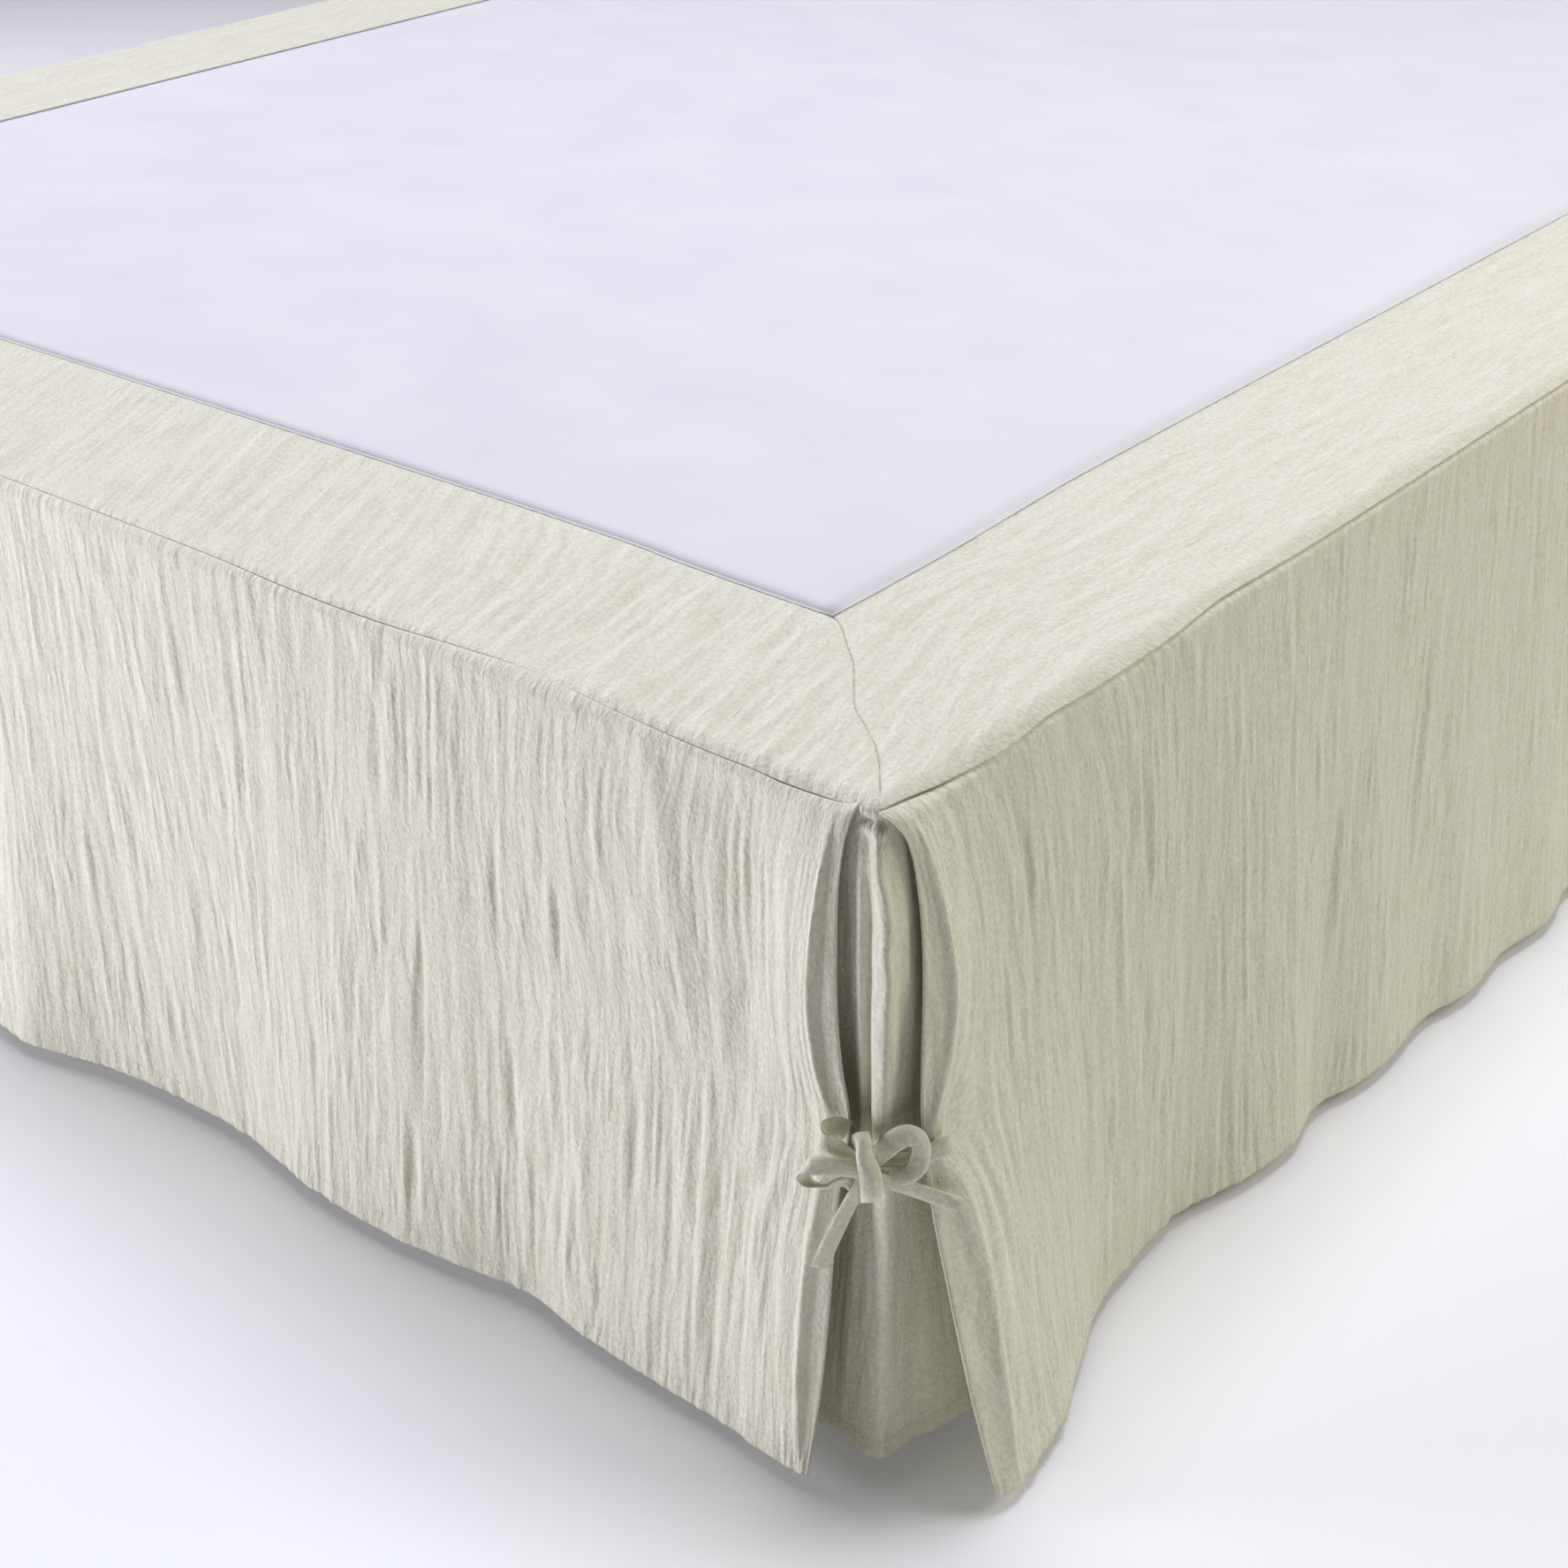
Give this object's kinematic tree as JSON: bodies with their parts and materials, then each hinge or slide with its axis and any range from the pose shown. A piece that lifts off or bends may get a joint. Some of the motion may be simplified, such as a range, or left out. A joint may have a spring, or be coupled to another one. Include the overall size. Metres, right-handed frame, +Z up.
{
  "type": "bed skirt on a bed base",
  "caption": "Crinkled cotton bed skirt with a mitred border, straight drops and bow-tied inverted pleats at the corners, on a plain bed base.",
  "frame": {"origin": "on the floor under the middle of the bed", "axes": "+X to the right of someone standing at the foot, +Y from the foot to the head, +Z up"},
  "size_m": [1.743, 2.143, 0.41],
  "materials": {
    "gauze": "matt crinkled double gauze, natural linen shade",
    "decking_cotton": "matt plain-woven white cotton",
    "base_cover": "matt plain cover",
    "wood": "satin"
  },
  "bodies": {
    "root": {"bed_base": "base_cover", "leg_foot_left": "wood", "leg_foot_right": "wood", "leg_middle_left": "wood", "leg_middle_right": "wood", "leg_head_left": "wood", "leg_head_right": "wood", "decking": "decking_cotton", "band_foot": "gauze", "drop_foot": "gauze", "pleat_foot": "gauze", "tie_before_foot": "gauze", "tie_after_foot": "gauze", "band_right": "gauze", "drop_right": "gauze", "pleat_right": "gauze", "tie_before_right": "gauze", "tie_after_right": "gauze", "band_head": "gauze", "drop_head": "gauze", "pleat_head": "gauze", "tie_before_head": "gauze", "tie_after_head": "gauze", "band_left": "gauze", "drop_left": "gauze", "pleat_left": "gauze", "tie_before_left": "gauze", "tie_after_left": "gauze"}
  },
  "joints": []
}
